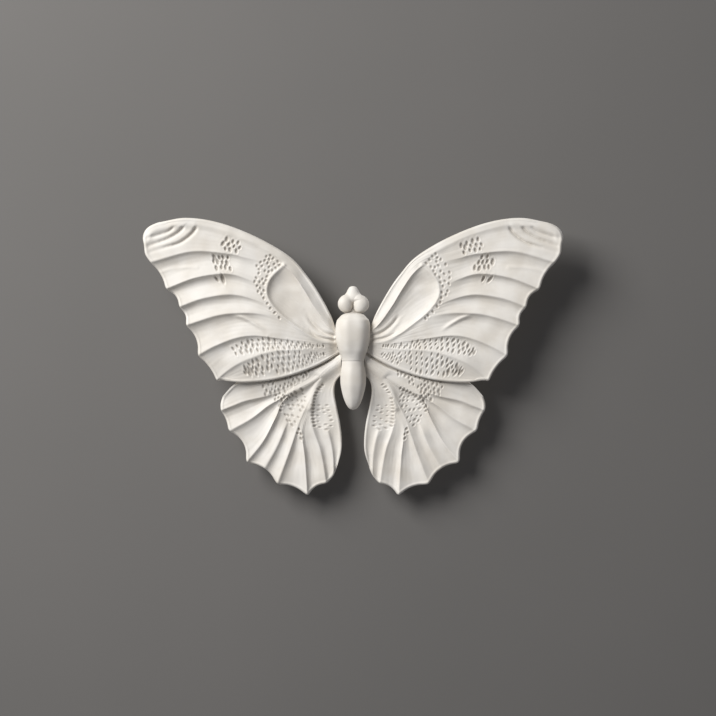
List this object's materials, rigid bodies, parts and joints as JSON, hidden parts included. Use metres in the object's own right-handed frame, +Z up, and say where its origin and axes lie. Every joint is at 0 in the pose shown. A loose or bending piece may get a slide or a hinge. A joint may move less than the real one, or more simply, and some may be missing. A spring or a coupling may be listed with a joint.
{
  "type": "butterfly wall ornament",
  "caption": "White cast butterfly wall ornament: fluted, scalloped wings tenoned into a rounded body, with a swinging hanging ring and rubber feet behind.",
  "frame": {"origin": "on the wall plane, level with the place where the wall hook bears in the hanging ring", "axes": "+X to the viewer's right along the wingspan, +Y into the wall, +Z up towards the head's side"},
  "size_m": [0.1998, 0.025, 0.1327],
  "materials": {
    "white_cast_resin": "matte",
    "zinc_plated_steel": "satin",
    "grey_rubber": "matte"
  },
  "bodies": {
    "ornament": {"head": "white_cast_resin", "eye_left": "white_cast_resin", "eye_right": "white_cast_resin", "thorax": "white_cast_resin", "abdomen": "white_cast_resin", "forewing_left": "white_cast_resin", "forewing_right": "white_cast_resin", "hindwing_left": "white_cast_resin", "hindwing_right": "white_cast_resin", "forewing_screws": "zinc_plated_steel", "hindwing_screws": "zinc_plated_steel", "hanger_strap": "zinc_plated_steel", "hanger_screw": "zinc_plated_steel", "foot_left": "grey_rubber", "foot_right": "grey_rubber"},
    "ring": {"hanging_ring": "zinc_plated_steel"}
  },
  "joints": [
    {"name": "ring_swing", "type": "hinge", "parent": "ornament", "child": "ring", "pos_m": [0, -0.00314, -0.00848], "axis": [-1, 0, 0], "range_deg": [0, 175]}
  ]
}
